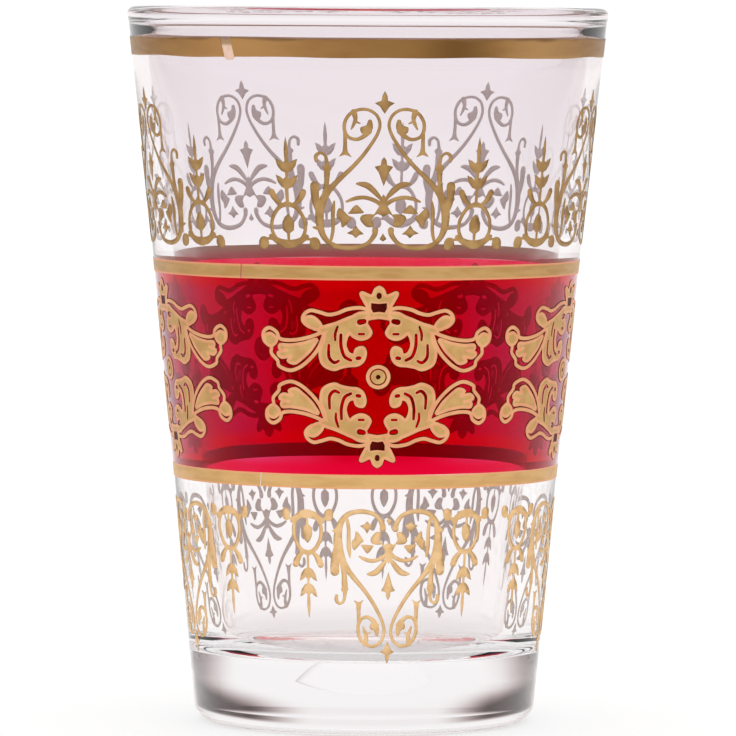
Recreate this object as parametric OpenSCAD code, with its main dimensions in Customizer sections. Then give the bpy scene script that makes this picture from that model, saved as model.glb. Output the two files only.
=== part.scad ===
// Moroccan tea glass: a tapered clear glass with a heavy base, a ruby band between two gold lines,
// a gold band under the rim and three rows of gold lace, each of five repeats round the glass.
// The origin is the middle of the foot on the table, +Z is up, and the front motifs face -Y.

/* [Glass] */
// Height from the table to the top of the rim
glass_h = 90; // [80:1:120]
// Outside diameter at the rim
rim_d = 60.6; // [50:0.2:90]
// Diameter where the straight wall would meet the table
foot_d = 42.6; // [38:0.2:60]
// How far the wall is drawn in along the ruby band
waist_in = 0.3; // [0:0.05:0.8]
// Thickness of the wall at the rim
wall_t = 1.7; // [1.2:0.1:3]
// Thickness of the wall at the floor of the bowl
wall_low_t = 4.7; // [2.4:0.1:6]
// Thickness of the rounded lip, which swells a little past the wall
lip_t = 2; // [1.8:0.1:4]
// Height of the floor of the bowl over the table
base_t = 9; // [6:0.5:16]
// Radius of the round between the bowl's floor and its wall
bowl_round_r = 4; // [1:0.5:6]
// Radius of the round between the wall and the foot
heel_r = 2.6; // [1:0.2:5]
// Width of the flat ring that stands on the table
foot_ring_w = 1.8; // [1:0.2:4]
// Depth of the hollow under the base
punt_depth = 1.2; // [0.4:0.2:3]

/* [Bands] */
// Distance from the top of the rim down to the rim band
rim_band_drop = 3.8; // [2:0.2:8]
// Height of the gold band under the rim
rim_band_h = 2.3; // [1:0.1:4]
// Height of each gold line beside the ruby band
gold_line_h = 1.75; // [0.8:0.05:3]
// Height of the lower edge of the ruby band over the table
ruby_z = 32.7; // [26:0.1:40]
// Height of the ruby band
ruby_h = 24; // [18:0.2:30]
// Thickness of the ruby film
ruby_t = 0.1; // [0.08:0.01:0.2]
// Thickness of the fired gold
gold_t = 0.15; // [0.1:0.01:0.3]
// Clearance between a print and what it lies on
print_gap = 0.03; // [0.01:0.01:0.06]

/* [Lace] */
// Number of repeats round the glass
repeats = 5; // [4:1:6]
// Extra turn of the one wider gap between repeats, where the print closes
seam_turn = 6.5; // [0:0.5:12]
// Turn of the medallions against the upper hearts
medallion_turn = -0.8; // [-5:0.1:5]
// Turn of the lower hearts against the upper hearts
lower_turn = 3; // [-5:0.1:5]
// Width of a fine line of the hearts and sprigs
lace_line_w = 0.4; // [0.3:0.02:0.6]
// Width of an outline of the medallions
medallion_line_w = 0.45; // [0.3:0.02:0.6]
// Clear height between the upper gold line and the drawing over it
upper_row_gap = 1.55; // [1:0.05:4]
// Clear height between the lower gold line and the drawing under it
lower_row_gap = 2.1; // [1:0.1:4]
// Clear height between the finials and the rim band
finial_gap = 4; // [2:0.5:8]
// Height of the tips of the lower finials over the table
lower_tip_z = 9.2; // [6:0.1:14]

/* [Hidden] */
$fn = 96;
// Overrun of a cut past the face that it opens
cut_over = 1;
// Steps of a curve between two of its points where it bends, by at least so many degrees
curve_steps = 2;
curve_bend = 60;

// The outside of the wall leans out with the height in three straight parts, the ruby band's drawn in
ruby_top = ruby_z + ruby_h;
foot_r = foot_d / 2;
lean_out = (rim_d - foot_d) / 2 / glass_h;
function drawn_in(z) = waist_in * min(1, z / ruby_z, (glass_h - z) / (glass_h - ruby_top));
function wall_r(z) = foot_r + lean_out * z - drawn_in(z);
low_slope = lean_out - waist_in / ruby_z;
low_stretch = sqrt(1 + low_slope * low_slope);

// The inside of the wall is one straight cone, so that the wall thickens downwards
bowl_foot_r = wall_r(base_t) - wall_low_t;
bowl_slope = (rim_d / 2 - wall_t - bowl_foot_r) / (glass_h - base_t);
bowl_stretch = sqrt(1 + bowl_slope * bowl_slope);
function bowl_r(z) = bowl_foot_r + bowl_slope * (z - base_t);

// The heel and the bowl's round touch the wall and the flat below them
heel_x = wall_r(heel_r) - heel_r * low_stretch;
heel_touch = [heel_x + heel_r / low_stretch, heel_r - heel_r * low_slope / low_stretch];
bowl_round_z = base_t + bowl_round_r;
bowl_round_x = bowl_r(bowl_round_z) - bowl_round_r * bowl_stretch;
bowl_touch = [
    bowl_round_x + bowl_round_r / bowl_stretch,
    bowl_round_z - bowl_round_r * bowl_slope / bowl_stretch
];

// The lip is a round bead whose outside reaches the rim diameter
lip_r = lip_t / 2;
lip_x = rim_d / 2 - lip_r;
lip_z = glass_h - lip_r;

// The punt is a shallow dish inside the foot ring
punt_r = heel_x - foot_ring_w;
punt_sphere_r = (punt_r * punt_r + punt_depth * punt_depth) / (2 * punt_depth);

// The bands are stacked from the ruby outwards, and the rows of lace fill what is left
rim_band_top = glass_h - rim_band_drop;
rim_band_z = rim_band_top - rim_band_h;
upper_row_z = ruby_top + gold_line_h + upper_row_gap;
upper_row_h = rim_band_z - finial_gap - upper_row_z;
lower_row_top = ruby_z - gold_line_h - lower_row_gap;
lower_row_h = lower_row_top - lower_tip_z;

// One repeat of the print, as a turn round the glass
repeat_turn = (360 - seam_turn) / repeats;

// The rows are drawn on grids. A repeat of the hearts is 35 squares wide and 20 tall, and a
// medallion's repeat is 32 squares wide and the ruby band 24 tall. All tables count in squares.
heart_grid_shares = [35, 20];
medallion_grid_shares = [32, 24];
// The hanging hearts are drawn a little slimmer
lower_slim_share = 0.94;
// The sprigs stand this many squares to each side of their heart
sprig_side_share = 12.2;

// A row is a frame for drawing: its foot, its height up or down, its middle radius, its squares
upper_row = [upper_row_z, upper_row_h, wall_r(upper_row_z + upper_row_h / 2), 1];
lower_row = [lower_row_top, -lower_row_h, wall_r(lower_row_top - lower_row_h / 2), lower_slim_share];
function cell_w(row, grid) = row[2] * repeat_turn * PI / 180 / grid.x * row[3];
function cell_h(row, grid) = row[1] / grid.y;
// A point of a table as a place on the unrolled wall; a third number is a width in line widths
function flat(row, grid, side, p) =
    [side * p.x * cell_w(row, grid), row[0] + p.y * cell_h(row, grid), is_undef(p[2]) ? 0 : p[2]];

// Smooth curve through points, by the usual four point spline. Near straight spans stay one step
function between(a, b, c, d, t) =
    (2 * b + (c - a) * t + (2 * a - 5 * b + 4 * c - d) * t * t + (3 * b - 3 * c + d - a) * t * t * t) / 2;
function heading(from, to) = atan2(to.y - from.y, to.x - from.x);
function bend(a, b, c, d) = abs((heading(b, d) - heading(a, c) + 540) % 360 - 180);
function span(a, b, c, d) =
    let (steps = bend(a, b, c, d) < curve_bend ? 1 : curve_steps)
    [for (k = [0 : steps - 1]) between(a, b, c, d, k / steps)];
function curve(points) =
    let (last = len(points) - 1)
    [
        for (i = [0 : last - 1])
            each span(points[max(i - 1, 0)], points[i], points[i + 1], points[min(i + 2, last)]),
        points[last]
    ];
function closed_curve(points) =
    let (n = len(points))
    [
        for (i = [0 : n - 1])
            each span(points[(i + n - 1) % n], points[i], points[(i + 1) % n], points[(i + 2) % n])
    ];

// A brush stroke: both edges of a line whose width swells and tapers along it
function across(line, i) =
    let (way = line[min(i + 1, len(line) - 1)] - line[max(i - 1, 0)])
    [-way.y, way.x] / max(norm([way.x, way.y]), line_least);
function edge_point(line, i, w, side) =
    [line[i].x, line[i].y] + across(line, i) * line[i][2] * w * side / 2;
function stroke(points, w) =
    let (line = curve(points))
    concat(
        [for (i = [0 : len(line) - 1]) edge_point(line, i, w, 1)],
        [for (i = [len(line) - 1 : -1 : 0]) edge_point(line, i, w, -1)]
    );
// Shortest way between two points that still has a direction
line_least = lace_line_w / 1000;
// Wet gold runs together over cracks up to twice this wide, and where two outlines touch in a point
crack_fill = lace_line_w / 20;

// Rolls a place of the unrolled row round the wall, seen straight from the front
function rolled(row, p) = [wall_r(p.y) * sin(p.x / row[2] * 180 / PI), p.y];
module rolled_outline(row, points) {
    polygon([for (p = points) rolled(row, p)]);
}

// A skin round the wall between two heights, of some thickness over what lies under it
module skin(z0, z1, under, t) {
    off = print_gap + under;
    rotate_extrude()
        polygon([
            [wall_r(z0) + off, z0],
            [wall_r(z0) + off + t, z0],
            [wall_r(z1) + off + t, z1],
            [wall_r(z1) + off, z1]
        ]);
}

// Gold printed on the front of the wall: a flat drawing pushed through a skin, then turned
module printed(turn, z0, z1, under) {
    rotate([0, 0, turn])
        intersection() {
            rotate([90, 0, 0])
                linear_extrude(height = rim_d)
                    offset(delta = -crack_fill)
                        offset(delta = crack_fill)
                            children();
            skin(z0, z1, under, gold_t);
        }
}

// Turn of one repeat, counted from the front to the right, and of the sprig at one side of it
function turn_of(k) = (k - 1) * repeat_turn;
function sprig_turn(k, side) = turn_of(k) + side * sprig_side_share * repeat_turn / heart_grid_shares.x;

// The heart, right half: each row is [squares to the side, squares up, width in lines]
heart_shares = [
    [1.0, 2.9, 2.0], [1.1, 2.3, 1.6], [1.9, 1.3, 1.3], [3.2, 0.8, 1.4], [4.9, 0.7, 1.5],
    [6.5, 1.1, 1.6], [7.5, 2.0, 1.8], [8.0, 3.4, 2.4], [8.0, 5.2, 2.8], [7.4, 6.9, 2.4],
    [6.5, 8.1, 1.8], [5.3, 9.3, 1.5], [4.0, 10.5, 1.3], [2.8, 11.8, 1.2], [1.75, 13.2, 1.1],
    [0.85, 14.7, 1.0], [0.55, 15.9, 0.95], [0.95, 17.0, 0.95], [1.9, 17.65, 0.95],
    [3.0, 17.7, 1.0], [4.1, 17.2, 1.05], [4.75, 16.2, 1.05], [4.8, 15.1, 1.1], [4.3, 14.3, 1.0],
    [3.3, 14.05, 1.1], [2.4, 14.5, 1.4], [1.85, 15.1, 1.9]
];
heart_bud_shares = [
    [1.4, 15.4], [1.55, 16.4], [1.95, 16.4], [2.2, 15.8], [2.9, 15.5], [2.75, 14.8], [2.0, 14.6]
];
heart_hook_shares = [[3.7, 17.4, 1.9], [3.5, 16.6, 1.3], [3.7, 15.9, 1.0], [4.0, 15.3, 0.5]];
heart_barb_shares = [[3.6, 16.3, 1.0], [2.95, 16.0, 0.4]];
heart_tail_shares = [[4.85, 15.6, 0.8], [4.75, 14.4, 1.1], [4.75, 13.2, 1.2], [4.75, 12.5, 1.7]];
heart_foot_shares = [[3.95, 11.85], [4.75, 12.15], [5.55, 11.9], [5.1, 12.5], [4.75, 12.9], [4.4, 12.5]];
heart_stem_shares = [[6.6, 1.7, 1.0], [6.35, 2.9, 1.1], [6.35, 4.4, 1.2], [6.3, 5.4, 1.3], [6.15, 6.4, 0.6]];
heart_leaf_shares = [[0.2, 6.6, 0.8], [1.0, 7.5, 1.6], [1.9, 8.3, 1.9], [2.7, 8.55, 1.5], [3.3, 8.6, 0.7]];
heart_low_leaf_shares = [
    [0.2, 5.9, 1.2], [1.0, 6.5, 1.3], [2.3, 6.9, 1.2], [3.5, 6.8, 1.2], [4.6, 6.4, 0.7]
];
// The two rosettes of the heart: petals about a cross, a bell and the curl beside the middle
petal_top_shares = [[3.4, 6.0], [4.2, 5.2], [4.4, 4.9], [3.4, 4.9], [2.5, 5.0], [2.6, 5.3]];
petal_in_shares = [[2.5, 4.8], [2.9, 4.2], [2.1, 3.3], [1.2, 3.4], [1.4, 4.2], [1.1, 4.8]];
petal_out_shares = [[4.4, 4.7], [5.5, 5.6], [5.9, 4.6], [5.4, 4.0], [5.2, 3.2], [4.6, 3.6], [4.0, 4.4]];
bell_shares = [
    [3.45, 3.5], [3.9, 2.9], [4.6, 2.5], [3.9, 2.3], [3.45, 1.9], [3.0, 2.3], [2.4, 2.4], [3.1, 3.0]
];
// Outer foliage of the heart
fat_leaf_shares = [[8.2, 5.0, 1.4], [8.5, 6.3, 2.3], [8.6, 7.4, 2.6], [8.6, 8.3, 2.9]];
tall_leaf_shares = [
    [7.4, 7.0, 1.8], [7.1, 8.6, 1.5], [7.0, 10.2, 1.9], [7.0, 11.2, 1.1], [7.2, 12.0, 0.9],
    [7.8, 12.35, 0.9], [8.35, 12.0, 1.2], [8.35, 11.4, 1.1]
];
tall_bud_shares = [[6.4, 10.5], [7.0, 9.9], [7.6, 10.6], [7.0, 11.0]];
spur_shares = [[7.8, 3.0, 1.5], [8.4, 3.1, 1.1], [8.9, 3.2, 0.5]];
// Shapes on the middle line of the heart, right half only
finial_shares = [[0, 17.2], [0.6, 18.1], [1.2, 18.5], [0.4, 18.8], [0.3, 19.4], [0, 20]];
centre_bud_shares = [[0, 8.3], [0.35, 9.2], [0.65, 10.0], [1.15, 10.7], [0.4, 10.9], [0.3, 11.5], [0, 11.9]];
knot_shares = [[0, 4.6], [0.7, 4.9], [1.3, 4.6], [0.8, 5.4], [0.45, 6.0], [0.5, 6.7], [0, 7.3]];
lozenge_shares = [[0, 1.5], [0.45, 1.8], [0.2, 2.2], [0, 2.5]];

// The sprig, right half, on the same squares
sprig_stem_shares = [[0, 5.8], [0.2, 5.9], [0.18, 8.0], [0.18, 10.8], [0.27, 12.6], [0.16, 13.6], [0, 14.3]];
tulip_shares = [[0, -0.1], [0.7, 0.2], [1.2, 0.8], [1.45, 1.7], [0.9, 1.5], [0.5, 1.2], [0, 1.5]];
tulip_up_shares = [7.9, 9.9];
sprig_leaf_shares = [[0.7, 5.9, 1.0], [1.3, 6.3, 1.4], [1.8, 6.9, 2.0], [2.1, 7.5, 2.0]];
sprig_ring_shares = [
    [1.6, 1.6, 1.0], [2.2, 2.6, 1.1], [2.2, 3.9, 1.1], [1.6, 5.1, 1.2], [0.8, 5.8, 1.4], [-0.3, 6.0, 1.5]
];
sprig_bud_shares = [[0, 1.2], [0.15, 1.3], [0.2, 2.4], [0.75, 2.8], [0.8, 3.7], [0.45, 4.4], [0, 4.8]];
sprig_boat_shares = [[2.4, 2.0, 1.6], [1.6, 1.5, 2.0], [0.9, 1.2, 2.4], [-0.3, 1.05, 2.6]];
sprig_neck_shares = [[2.0, 1.7, 1.0], [2.8, 1.7, 0.8], [3.4, 1.6, 1.4]];
sprig_ball_shares = [[3.1, 1.9], [3.8, 1.9], [4.2, 1.3], [4.1, 0.6], [3.5, 0.4], [2.9, 0.7], [2.8, 1.3]];

// The medallion, upper right quarter, counted from the middle of the ruby band
crown_shares = [
    [0, 11.3], [0.45, 11.0], [0.9, 10.2], [2.0, 10.6], [2.15, 10.3], [1.7, 9.4], [1.35, 8.7], [1.2, 7.6],
    [1.35, 7.3], [0.8, 7.4], [0, 7.5]
];
crown_hole_r_share = 0.4;
crown_hole_up_share = 10.2;
crown_window_shares = [[0, 9.2], [0.95, 9.3], [0.95, 8.6], [0.7, 8.1], [0, 8.2]];
wing_shares = [
    [1.15, 8.4, 1.0], [2.3, 8.7, 1.0], [3.8, 8.5, 1.0], [5.0, 8.0, 1.0], [6.1, 7.8, 1.0],
    [7.2, 8.1, 1.0], [8.3, 8.3, 1.0], [9.1, 7.8, 1.0], [9.3, 7.0, 1.0], [8.6, 6.3, 1.0], [7.6, 6.0, 0.8]
];
wing_bud_shares = [[7.0, 6.2], [7.3, 6.9], [8.1, 7.5], [8.9, 7.4], [9.1, 6.9], [8.5, 6.3], [7.6, 5.9]];
wing_root_shares = [
    [1.2, 8.1], [2.3, 7.9], [3.9, 7.3], [5.3, 6.7], [6.6, 6.3], [7.4, 5.9], [6.9, 5.4], [6.5, 5.5],
    [5.4, 5.6], [4.4, 5.4], [3.9, 5.6], [3.3, 5.4], [2.9, 6.0], [2.4, 7.0], [1.5, 7.4]
];
leaf_line_shares = [
    [6.4, 5.9, 1.0], [7.8, 5.2, 1.0], [9.5, 4.7, 1.0], [11.2, 4.5, 1.0], [12.4, 4.7, 1.0],
    [12.8, 5.5, 1.0], [13.8, 6.0, 1.0], [14.6, 5.4, 1.0], [14.5, 4.3, 1.0], [13.6, 3.7, 1.0],
    [13.6, 2.8, 1.0], [12.8, 1.9, 1.0], [12.6, 1.2, 1.0], [11.2, 0.7, 1.0], [9.9, 1.1, 1.0],
    [8.6, 2.1, 1.0], [7.5, 3.4, 1.0], [6.9, 4.7, 1.0], [6.6, 5.6, 1.0]
];
leaf_fill_shares = [
    [7.6, 4.7], [9.2, 4.2], [11.0, 3.9], [12.4, 3.9], [12.3, 3.2], [11.3, 3.3], [12.7, 2.9],
    [12.2, 2.3], [10.9, 2.5], [11.4, 1.9], [10.5, 1.6], [9.6, 2.2], [8.6, 3.1], [8.0, 3.9]
];
leaf_curl_shares = [[12.8, 4.4], [13.1, 5.0], [13.7, 5.3], [14.4, 5.0], [14.4, 4.2], [13.6, 3.7]];
fall_shares = [
    [6.4, 5.8], [6.7, 4.5], [7.2, 3.3], [7.1, 2.0], [6.6, 1.3], [5.5, 0.9], [4.6, 1.2], [3.6, 1.4],
    [2.6, 1.5], [1.9, 2.0], [1.6, 3.0], [1.9, 3.7], [2.7, 3.5], [3.0, 2.8], [3.7, 3.0], [4.1, 4.0],
    [3.9, 5.0], [3.5, 5.8], [4.6, 6.2]
];
fall_slit_shares = [
    [[4.6, 5.3, 0.8], [4.6, 3.9, 0.9], [4.2, 2.6, 0.9], [3.4, 2.1, 0.8]],
    [[6.1, 4.0, 0.7], [6.1, 2.5, 0.9], [5.5, 1.8, 0.9], [4.9, 2.0, 0.7]],
    [[5.0, 6.3, 0.6], [5.3, 5.4, 0.8], [5.3, 4.6, 0.6]],
    [[2.3, 2.4, 1.0], [2.6, 2.35, 1.0]]
];
hook_shares = [
    [1.2, 7.5, 1.1], [1.6, 6.8, 1.0], [1.2, 6.1, 1.0], [0.9, 5.5, 1.2], [1.4, 4.9, 1.1],
    [2.2, 4.7, 1.1], [3.0, 5.0, 1.1], [3.3, 5.7, 1.0]
];
hook_slit_shares = [[[1.8, 7.0, 1.4], [2.3, 6.9, 1.6]], [[1.8, 5.4, 0.7], [2.4, 5.4, 0.7]]];
// The ring in the middle of a medallion
ring_r_share = 1.3;
ring_bead_r_share = 0.9;
ring_hole_r_share = 0.3;

module half_strokes(row, grid, side, w, tables) {
    for (table = tables)
        rolled_outline(row, stroke([for (p = table) flat(row, grid, side, p)], w));
}

module half_blobs(row, grid, side, tables) {
    for (table = tables)
        rolled_outline(row, closed_curve([for (p = table) flat(row, grid, side, p)]));
}

// A shape that is whole across the middle line, from its right half
module middle_blobs(row, grid, tables) {
    for (table = tables)
        rolled_outline(
            row,
            concat(
                [for (p = table) flat(row, grid, 1, p)],
                [for (i = [len(table) - 1 : -1 : 0]) flat(row, grid, -1, table[i])]
            )
        );
}

module heart_drawing(row) {
    for (side = [-1, 1]) {
        half_strokes(row, heart_grid_shares, side, lace_line_w, [
            heart_shares, heart_hook_shares, heart_barb_shares, heart_tail_shares, heart_stem_shares,
            heart_leaf_shares, heart_low_leaf_shares, fat_leaf_shares, tall_leaf_shares, spur_shares
        ]);
        half_blobs(row, heart_grid_shares, side, [
            heart_bud_shares, petal_top_shares, petal_in_shares, petal_out_shares, tall_bud_shares
        ]);
    }
    for (side = [-1, 1], table = [heart_foot_shares, bell_shares])
        rolled_outline(row, [for (p = table) flat(row, heart_grid_shares, side, p)]);
    middle_blobs(row, heart_grid_shares, [finial_shares, centre_bud_shares, knot_shares, lozenge_shares]);
}

function aside(points, up) = [for (p = points) [p.x, p.y + up]];

module sprig_drawing(row) {
    middle_blobs(row, heart_grid_shares, [
        sprig_stem_shares,
        sprig_bud_shares,
        for (up = tulip_up_shares) aside(tulip_shares, up)
    ]);
    for (side = [-1, 1]) {
        half_strokes(row, heart_grid_shares, side, lace_line_w, [
            sprig_leaf_shares, sprig_ring_shares, sprig_boat_shares, sprig_neck_shares
        ]);
        half_blobs(row, heart_grid_shares, side, [sprig_ball_shares]);
    }
}

module upper_heart(k) {
    color("goldenrod")
        printed(turn_of(k), upper_row_z, rim_band_z, 0)
            heart_drawing(upper_row);
}

module upper_sprig(k, side) {
    color("goldenrod")
        printed(sprig_turn(k, side), upper_row_z, rim_band_z, 0)
            sprig_drawing(upper_row);
}

module lower_heart(k) {
    color("goldenrod")
        printed(turn_of(k) + lower_turn, lower_tip_z, lower_row_top, 0)
            heart_drawing(lower_row);
}

module lower_pendant(k, side) {
    color("goldenrod")
        printed(sprig_turn(k, side) + lower_turn, lower_tip_z, lower_row_top, 0)
            sprig_drawing(lower_row);
}

// A quarter of the medallion stands on the middle of the ruby band, and goes up or hangs down
function medallion_row(way) =
    let (mid = ruby_z + ruby_h / 2)
    [mid, way * ruby_h, wall_r(mid), 1];

module medallion_quarter(row, side) {
    w = medallion_line_w;
    grid = medallion_grid_shares;
    half_strokes(row, grid, side, w, [wing_shares, leaf_line_shares, hook_shares]);
    half_blobs(row, grid, side, [wing_bud_shares, leaf_fill_shares, leaf_curl_shares]);
    difference() {
        union() {
            half_blobs(row, grid, side, [fall_shares]);
            rolled_outline(row, [for (p = wing_root_shares) flat(row, grid, side, p)]);
        }
        half_strokes(row, grid, side, w, concat(fall_slit_shares, hook_slit_shares));
    }
}

module medallion_crown(row) {
    grid = medallion_grid_shares;
    hole = flat(row, grid, 0, [0, crown_hole_up_share]);
    difference() {
        middle_blobs(row, grid, [crown_shares]);
        middle_blobs(row, grid, [crown_window_shares]);
        translate([0, hole.y])
            circle(r = crown_hole_r_share * cell_w(row, grid), $fn = 10);
    }
}

module medallion_drawing() {
    for (way = [-1, 1]) {
        for (side = [-1, 1])
            medallion_quarter(medallion_row(way), side);
        medallion_crown(medallion_row(way));
    }
    cell = cell_w(medallion_row(1), medallion_grid_shares);
    translate([0, ruby_z + ruby_h / 2])
        difference() {
            circle(r = ring_r_share * cell + medallion_line_w / 2, $fn = 24);
            circle(r = ring_r_share * cell - medallion_line_w / 2, $fn = 20);
        }
    translate([0, ruby_z + ruby_h / 2])
        difference() {
            circle(r = ring_bead_r_share * cell, $fn = 20);
            circle(r = ring_hole_r_share * cell, $fn = 10);
        }
}

module medallion(k) {
    color("goldenrod")
        printed(turn_of(k) + medallion_turn, ruby_z, ruby_top, print_gap + ruby_t)
            medallion_drawing();
}

module glass_outside() {
    polygon([
        [0, 0],
        [heel_x, 0],
        [heel_x, heel_r],
        heel_touch,
        [wall_r(ruby_z), ruby_z],
        [wall_r(ruby_top), ruby_top],
        [wall_r(lip_z), lip_z],
        [0, lip_z]
    ]);
    translate([heel_x, heel_r])
        circle(r = heel_r);
}

module bowl_inside() {
    polygon([
        [0, base_t],
        [bowl_round_x, base_t],
        [bowl_round_x, bowl_round_z],
        bowl_touch,
        [bowl_r(glass_h + cut_over), glass_h + cut_over],
        [0, glass_h + cut_over]
    ]);
    translate([bowl_round_x, bowl_round_z])
        circle(r = bowl_round_r);
}

module glass_body() {
    color("gainsboro", 0.4)
        rotate_extrude() {
            difference() {
                glass_outside();
                bowl_inside();
                translate([0, punt_depth - punt_sphere_r])
                    circle(r = punt_sphere_r, $fn = 256);
            }
            translate([lip_x, lip_z])
                circle(r = lip_r);
        }
}

module rim_gold_band() {
    color("peru")
        skin(rim_band_z, rim_band_top, 0, gold_t);
}

module upper_gold_line() {
    color("burlywood")
        skin(ruby_top, ruby_top + gold_line_h, 0, gold_t);
}

module ruby_band() {
    color("crimson")
        skin(ruby_z, ruby_top, 0, ruby_t);
}

module lower_gold_line() {
    color("burlywood")
        skin(ruby_z - gold_line_h, ruby_z, 0, gold_t);
}

// Names of the nodes: one for each band, and one for each printed patch of each repeat
SIDES = ["left", "right"];
function side_of(name) = name == "left" ? -1 : 1;

glass_body();
rim_gold_band();
upper_gold_line();
ruby_band();
lower_gold_line();
for (k = [1 : repeats]) {
    upper_heart(k);
    medallion(k);
    lower_heart(k);
    for (s = SIDES) {
        upper_sprig(k, side_of(s));
        lower_pendant(k, side_of(s));
    }
}
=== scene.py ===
# A Moroccan tea glass, dressed as in its photograph. Lengths are millimetres times MM, so metres, in
# the frame of the CAD part: the middle of the foot is the origin, +Z is up, the front motifs face -Y.
import math

import bmesh
import bpy
from mathutils import Matrix, Vector, noise
from mathutils.geometry import delaunay_2d_cdt


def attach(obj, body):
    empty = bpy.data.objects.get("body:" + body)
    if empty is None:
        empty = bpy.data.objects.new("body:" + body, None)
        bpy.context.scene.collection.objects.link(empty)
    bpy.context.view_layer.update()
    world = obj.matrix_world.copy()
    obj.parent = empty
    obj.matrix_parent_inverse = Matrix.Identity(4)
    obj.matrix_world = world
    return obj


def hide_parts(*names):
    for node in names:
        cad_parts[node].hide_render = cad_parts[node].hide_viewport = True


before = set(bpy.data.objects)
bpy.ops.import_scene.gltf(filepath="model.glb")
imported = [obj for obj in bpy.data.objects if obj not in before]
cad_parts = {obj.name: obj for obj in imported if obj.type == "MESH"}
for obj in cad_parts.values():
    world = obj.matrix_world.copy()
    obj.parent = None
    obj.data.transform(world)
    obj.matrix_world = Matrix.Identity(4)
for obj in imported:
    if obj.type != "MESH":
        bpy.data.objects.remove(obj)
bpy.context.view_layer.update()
MM = 0.001

# The camera stands far back with a long lens, a little to the left of the front motifs and just over
# the rim, so that the glass looks nearly flat-on, as in the photograph.
CAMERA_AWAY = 860
CAMERA_UP = 92.63
CAMERA_LEFT_TURN = math.radians(4.2)
CAMERA_AIM_RIGHT = math.radians(0.018)
CAMERA_DOWN = math.radians(3.203)
CAMERA_ROLL = math.radians(0.324)
CAMERA_LENS = 333.86

camera_data = bpy.data.cameras.new("long_lens")
camera_data.lens = CAMERA_LENS
camera_data.sensor_width = 36
camera_data.clip_start = 0.05
camera_data.clip_end = 20
camera = bpy.data.objects.new("long_lens", camera_data)
bpy.context.scene.collection.objects.link(camera)
camera.matrix_world = (
    Matrix.Translation(Vector((
        -math.sin(CAMERA_LEFT_TURN) * CAMERA_AWAY,
        -math.cos(CAMERA_LEFT_TURN) * CAMERA_AWAY,
        CAMERA_UP,
    )) * MM)
    @ Matrix.Rotation(-CAMERA_LEFT_TURN - CAMERA_AIM_RIGHT, 4, "Z")
    @ Matrix.Rotation(math.pi / 2 - CAMERA_DOWN, 4, "X")
    @ Matrix.Rotation(CAMERA_ROLL, 4, "Z")
)
bpy.context.scene.camera = camera

# The glass body is one piece of pressed soda glass. Its wall leans out, is drawn in a little along the
# ruby band and thickens downwards, its lip is melted round in the fire, and its heavy base has a
# shallow hollow under it. The inside is never quite even.
GLASS_H = 90
RIM_R = 30.3
FOOT_R = 21.3
WAIST_IN = 0.3
RUBY_Z = 32.7
RUBY_TOP = 56.7
WALL_T = 1.7
WALL_LOW_T = 4.7
LIP_R = 1
LIP_BLEND_Z = 87
LIP_BLEND_TURN = 20
LIP_DRAW_Z = 81.5
LIP_DRAW = 0.15
LIP_INSIDE_Z = 86.4
FLOOR_Z = 9
BOWL_ROUND_R = 4
HEEL_R = 2.6
FOOT_RING_W = 1.8
PUNT_DEPTH = 1.2
INSIDE_WAVE = 0.05
WAVE_SIZE = 14
WAVE_FADE_H = 12
TURN_STEPS = 256
SHARP_TURN = math.radians(35)
BASE_TINT_ENDS = (FLOOR_Z - 2, FLOOR_Z + 4)
WALL_TINT_STARTS = (40, 82)
LEAN_OUT = (RIM_R - FOOT_R) / GLASS_H


def wall_r(z):
    """The outside radius of the wall at a height."""
    drawn_in = WAIST_IN * min(1, z / RUBY_Z, (GLASS_H - z) / (GLASS_H - RUBY_TOP))
    return FOOT_R + LEAN_OUT * z - drawn_in


BOWL_FOOT_R = wall_r(FLOOR_Z) - WALL_LOW_T
BOWL_SLOPE = (RIM_R - WALL_T - BOWL_FOOT_R) / (GLASS_H - FLOOR_Z)


def bowl_r(z):
    """The inside radius of the straight wall of the bowl at a height."""
    return BOWL_FOOT_R + BOWL_SLOPE * (z - FLOOR_Z)


def arc(x, z, r, start, end, steps):
    """An arc about a centre, between two angles in degrees."""
    angles = [math.radians(start + (end - start) * i / steps) for i in range(steps + 1)]
    return [(x + r * math.cos(a), z + r * math.sin(a)) for a in angles]


def line(start, end, steps):
    """The points between two points, without these."""
    return [tuple(Vector(start).lerp(Vector(end), i / steps)) for i in range(1, steps)]


def ease(start, start_way, end, end_way, steps):
    """A smooth S between two points that leaves and arrives along the given ways."""
    reach = (Vector(end) - Vector(start)).length
    out = []
    for i in range(1, steps):
        t = i / steps
        out.append(tuple(
            Vector(start) * (2 * t ** 3 - 3 * t ** 2 + 1)
            + Vector(start_way) * reach * (t ** 3 - 2 * t ** 2 + t)
            + Vector(end) * (3 * t ** 2 - 2 * t ** 3)
            + Vector(end_way) * reach * (t ** 3 - t ** 2)
        ))
    return out


def turned(profile, steps, closed=False, start=0.0, sweep=math.tau):
    """Spins a profile of (radius, height) round the glass's axis, as on a lathe. A positive turn goes
    to the right, seen from the front."""
    bm = bmesh.new()
    points = [
        bm.verts.new(Vector((x * math.sin(start), -x * math.cos(start), z)) * MM) for x, z in profile
    ]
    pairs = list(zip(points, points[1:] + points[:1]))
    edges = [bm.edges.new(pair) for pair in (pairs if closed else pairs[:-1])]
    whole = sweep >= math.tau
    bmesh.ops.spin(
        bm, geom=points + edges, cent=(0, 0, 0), axis=(0, 0, 1), angle=sweep, steps=steps, use_merge=whole
    )
    if closed and not whole:
        bmesh.ops.holes_fill(bm, edges=[e for e in bm.edges if e.is_boundary], sides=0)
    bmesh.ops.remove_doubles(bm, verts=bm.verts[:], dist=0.0005 * MM)
    bmesh.ops.recalc_face_normals(bm, faces=bm.faces[:])
    return bm


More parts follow.
